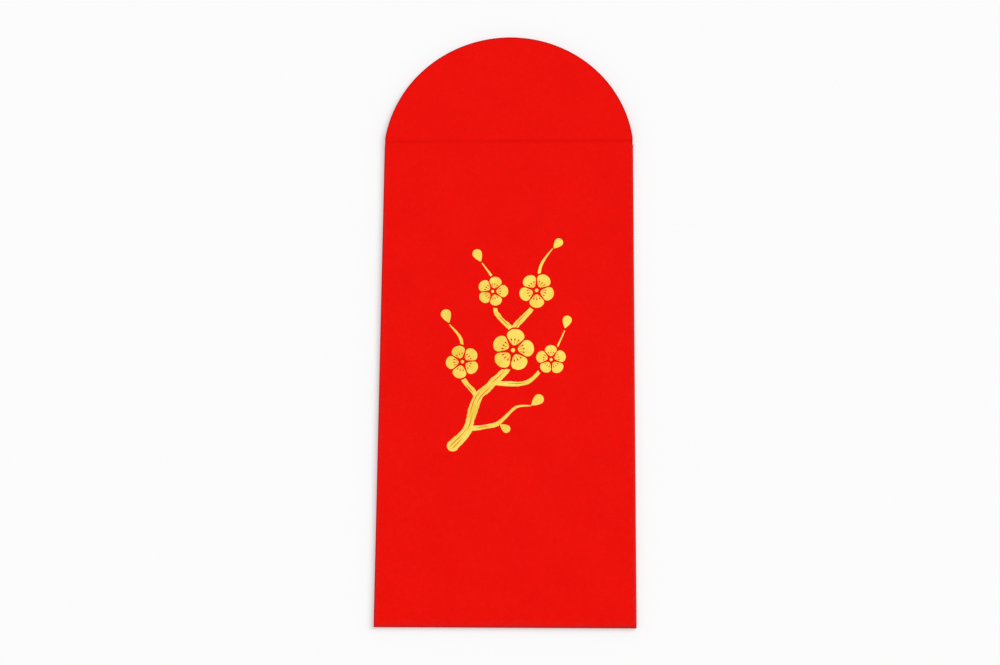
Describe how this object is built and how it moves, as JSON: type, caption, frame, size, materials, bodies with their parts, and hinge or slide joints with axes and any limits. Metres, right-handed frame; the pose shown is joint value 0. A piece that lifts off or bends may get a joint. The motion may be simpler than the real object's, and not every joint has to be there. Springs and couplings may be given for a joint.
{
  "type": "red envelope",
  "caption": "Red paper envelope for gift money: folded pouch with a side seam, round-topped closing flap on a scored crease, and gold stamping on the front.",
  "frame": {"origin": "on the surface that it lies on, under the middle of its outline with the flap open", "axes": "the front faces +Z, +Y runs up the front towards the closing flap, +X across it to the right as the front is seen"},
  "size_m": [0.085, 0.203, 0.0019],
  "materials": {
    "red_paper": "matt uncoated red paper with a fine felt grain",
    "gold_foil": "hot-stamped gold foil, satin",
    "paste": "dried paste, dull"
  },
  "bodies": {
    "pouch": {"front_panel": "red_paper", "left_side_fold": "red_paper", "side_paste_tab": "red_paper", "right_side_fold": "red_paper", "back_panel": "red_paper", "side_seam_paste": "paste", "bottom_fold": "red_paper", "bottom_flap": "red_paper", "bottom_flap_paste": "paste", "flap_crease": "red_paper", "foil_branch": "gold_foil", "foil_blossoms": "gold_foil", "foil_buds": "gold_foil"},
    "flap": {"closing_flap": "red_paper"}
  },
  "joints": [
    {"name": "flap_fold", "type": "hinge", "parent": "pouch", "child": "flap", "pos_m": [0, 0.0635, 0.00095], "axis": [-1, 0, 0], "range_deg": [0, 180], "deforming": ["flap_crease"]}
  ]
}
